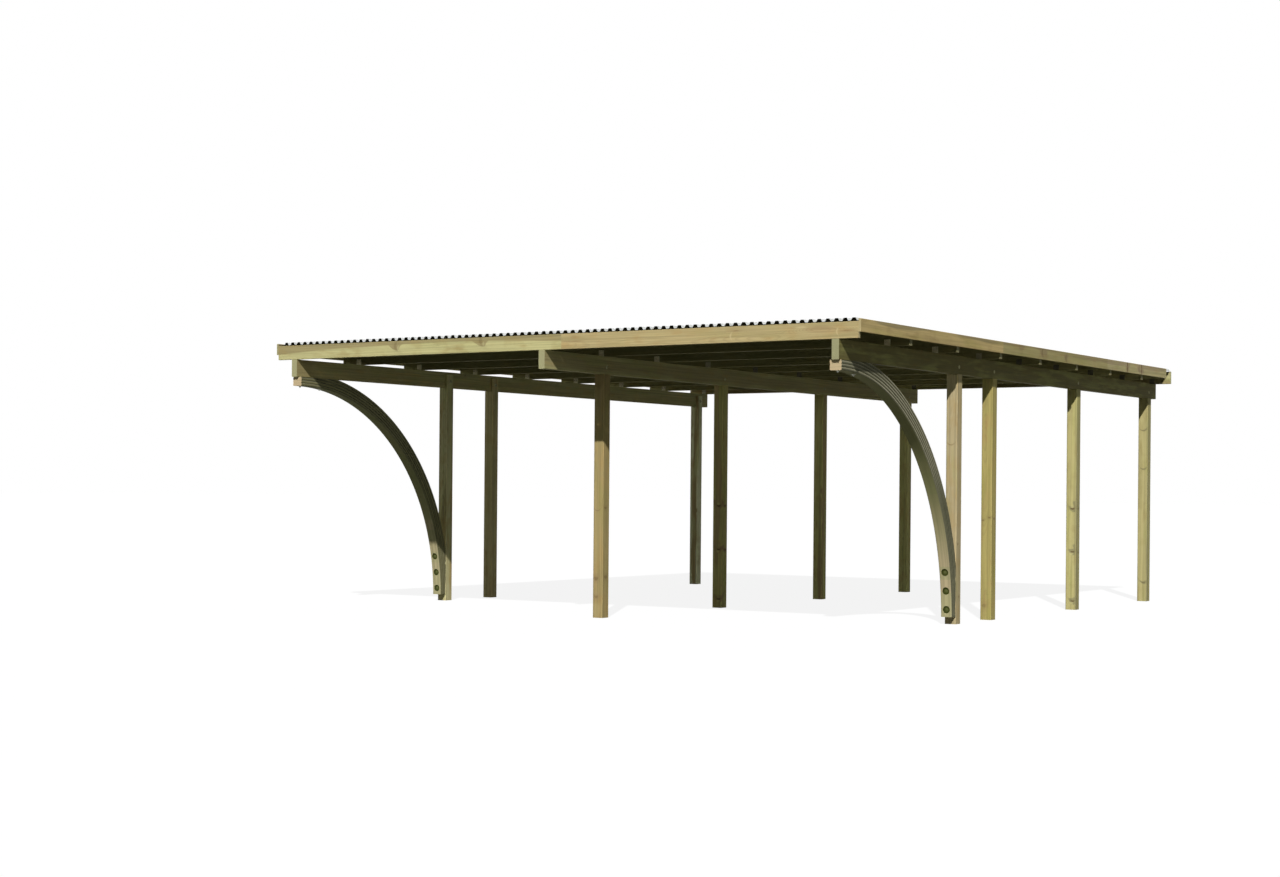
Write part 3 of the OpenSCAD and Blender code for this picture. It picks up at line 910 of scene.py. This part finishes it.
def two_sided_sheet(sheet, seed):
    """Plastic that is pale and dirty on the faces that look up, and black as painted shade on the others."""
    finish, wire = new_finish(sheet + "_plastic")
    parts = in_three(place_on(wire))
    low_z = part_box(sheet)[0][2]
    run = cloud(parts["X"] * DIRT_RUNS[0] + seed, parts["Z"] * DIRT_RUNS[0], parts["Y"] * DIRT_RUNS[1], 4.0)
    speck = cloud(parts["X"] * SPECKS[0], parts["Z"] * SPECKS[0] + seed, parts["Y"] * SPECKS[1], 2.0)
    valley = 1.0 - fade(parts["Z"], low_z + VALLEY_FROM, low_z + VALLEY_TO)
    dirt = fade(run, 0.40, 0.75) * (0.25 + valley * 0.55) + fade(speck, 0.58, 0.75) * 0.15
    upper = fade(facing(wire)["Z"], 0.05, 0.15)
    # Painted shade: black on every face that does not look up
    colour = mixed(upper, SHEET_SHADE_BLACK, mixed(dirt, SHEET_PALE, SHEET_DIRT))
    rough = 0.90 - upper * 0.40 + dirt * 0.3 + speck * 0.10
    lay_on(finish, colour, rough, SHEET_GLOSS, speck, SHEET_RELIEF, SHEET_RELIEF_DEPTH)
    wear(sheet, finish)


for number in range(1, SHEETS + 1):
    two_sided_sheet(f"roof_sheet_{number}", SHEET_SEED * number)


# Roof screws
# Screws with a sealing washer and a six-sided head, in the valleys over each rafter and over
# the front and rear boards.
SHEET_T = 0.0012
VALLEY_FROM_EDGE = 0.067
SCREW_STEP = 0.280
SCREWS_ACROSS = 20
SEAL_SIDES = 10
SEAL_R = 0.0085
SEAL_RIM = 0.0010
SEAL_STEPS = ((0.0016, 0.0008),)
SCREW_R = 0.0052
SCREW_BASE = 0.0018
SCREW_H = 0.0040
SCREW_STEPS = ((0.0010, 0.0006),)
sheet_low, sheet_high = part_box(f"roof_sheet_{SHEETS}")
lines = [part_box("front_board_left"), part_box("rear_board_left")]
lines += [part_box(f"rafter_{number}") for number in range(1, RAFTERS + 1)]
screws = []
for low, high in lines:
    for number in range(SCREWS_ACROSS):
        x = sheet_high[0] - VALLEY_FROM_EDGE - number * SCREW_STEP
        screws.append(((x, (low[1] + high[1]) / 2, sheet_low[2] + SHEET_T), UP))
seal = turned(SEAL_SIDES, SEAL_R, 0.0, SEAL_RIM, SEAL_STEPS)
screw_head = turned(HEXAGON, SCREW_R, SCREW_BASE, SCREW_H, SCREW_STEPS)
fastened("roof_screws", joined("screw", [seal, screw_head]), bright_zinc, screws)


# Ground, light and camera
# A plain white floor that keeps a faint shadow, low sky light, one sun from high behind the
# camera, as in the photograph, and five weaker lamps that lift the shade.
FLOOR_SIZE = 400.0
FLOOR_GLOW = 0.85
FLOOR_SHINE = 1.032
FLOOR_WHITE = (0.9, 0.9, 0.9, 1.0)
FLOOR_BOUNCE = (0.062, 0.067, 0.050, 1.0)
bpy.ops.object.select_all(action="DESELECT")
bpy.ops.mesh.primitive_plane_add(size=FLOOR_SIZE)
floor = bpy.context.object
floor.name = "floor"


def seen_directly(wire):
    """1 for what the camera sees, also in a mirror or through glass, and 0 for light on the object."""
    rays = wire.node("LightPath", {}, {}, "Is Camera Ray")
    seen = change(rays, "MAXIMUM", rays["Is Glossy Ray"])
    return change(seen, "MAXIMUM", rays["Is Transmission Ray"])


floor_finish, wire = new_finish("floor_white")
bounce = wire.node("BsdfDiffuse", {}, {"Color": FLOOR_BOUNCE})
shown = wire.node("BsdfDiffuse", {}, {"Color": FLOOR_WHITE})
glow = wire.node("Emission", {}, {"Color": WHITE, "Strength": FLOOR_SHINE})
shown = wire.node("MixShader", {}, {0: FLOOR_GLOW, 1: shown, 2: glow})
both = wire.node("MixShader", {}, {0: seen_directly(wire), 1: bounce, 2: shown})
tree = floor_finish.node_tree
tree.links.new(both.socket, tree.nodes["Material Output"].inputs["Surface"])
floor.data.materials.append(floor_finish)

SKY_LIGHT = 0.05
SKY_TINT = (0.90, 1.0, 0.98, 1.0)
world = bpy.data.worlds.new("sky")
bpy.context.scene.world = world
world.use_nodes = True
tree = world.node_tree
seen = seen_directly(Wire(tree))
background = tree.nodes["Background"]
strength = seen * (1.0 - SKY_LIGHT) + SKY_LIGHT
tree.links.new(mixed(seen, SKY_TINT, WHITE).socket, background.inputs["Color"])
tree.links.new(strength.socket, background.inputs["Strength"])

SUN_TRAVEL = (-1.0, 1.83, -1.567)
SUN_POWER = 4.1
SUN_ANGLE = math.radians(0.7)
SUN_WHITE = (1.0, 1.0, 1.0)
FILL_TINT = (0.92, 1.0, 0.94)
FILL_ANGLE = math.radians(5.0)
FRONT_FILL_TRAVEL = (0.30, 1.0, -0.05)
FRONT_FILL_POWER = 0.23
SIDE_FILL_TRAVEL = (-1.0, 0.25, -0.05)
SIDE_FILL_POWER = 0.14
RIGHT_FILL_TRAVEL = (-1.0, 0.0, 0.0)
RIGHT_FILL_POWER = 0.20
UNDER_FILL_TRAVEL = (0.0, 0.9, 0.45)
UNDER_FILL_POWER = 0.05
REAR_FILL_TRAVEL = (0.7, -0.7, -0.35)
REAR_FILL_POWER = 1.0


def sunlight(name, travel, power, angle, tint, shadow):
    """A lamp whose light travels one way everywhere, with or without shadows."""
    bpy.ops.object.light_add(type="SUN")
    lamp = bpy.context.object
    lamp.name = name
    lamp.rotation_euler = Vector(travel).to_track_quat("-Z", "Y").to_euler()
    lamp.data.energy = power
    lamp.data.angle = angle
    lamp.data.color = tint
    lamp.data.use_shadow = shadow


sunlight("sun", SUN_TRAVEL, SUN_POWER, SUN_ANGLE, SUN_WHITE, True)
sunlight("front_fill", FRONT_FILL_TRAVEL, FRONT_FILL_POWER, FILL_ANGLE, FILL_TINT, True)
sunlight("side_fill", SIDE_FILL_TRAVEL, SIDE_FILL_POWER, FILL_ANGLE, FILL_TINT, True)
sunlight("right_fill", RIGHT_FILL_TRAVEL, RIGHT_FILL_POWER, FILL_ANGLE, FILL_TINT, False)
sunlight("under_fill", UNDER_FILL_TRAVEL, UNDER_FILL_POWER, FILL_ANGLE, FILL_TINT, False)
sunlight("rear_fill", REAR_FILL_TRAVEL, REAR_FILL_POWER, FILL_ANGLE, SUN_WHITE, False)

PHOTO_W = 1280
FOCAL_PIXELS = 2024.5
HORIZON_BELOW_MIDDLE = 52.2
CAMERA_PLACE = (9.405, -16.271, 1.047)
CAMERA_TURN = math.radians(33.27)
CAMERA_ROLL = math.radians(0.48)
bpy.ops.object.camera_add(location=CAMERA_PLACE)
camera = bpy.context.object
level = Matrix.Rotation(CAMERA_TURN, 3, "Z") @ Matrix.Rotation(math.pi / 2, 3, "X")
camera.rotation_euler = (level @ Matrix.Rotation(CAMERA_ROLL, 3, "Z")).to_euler()
camera.data.sensor_fit = "HORIZONTAL"
camera.data.lens = FOCAL_PIXELS / PHOTO_W * camera.data.sensor_width
camera.data.shift_y = HORIZON_BELOW_MIDDLE / PHOTO_W
camera.data.clip_end = 2 * FLOOR_SIZE
bpy.context.scene.camera = camera
bpy.context.scene.view_settings.view_transform = "Standard"
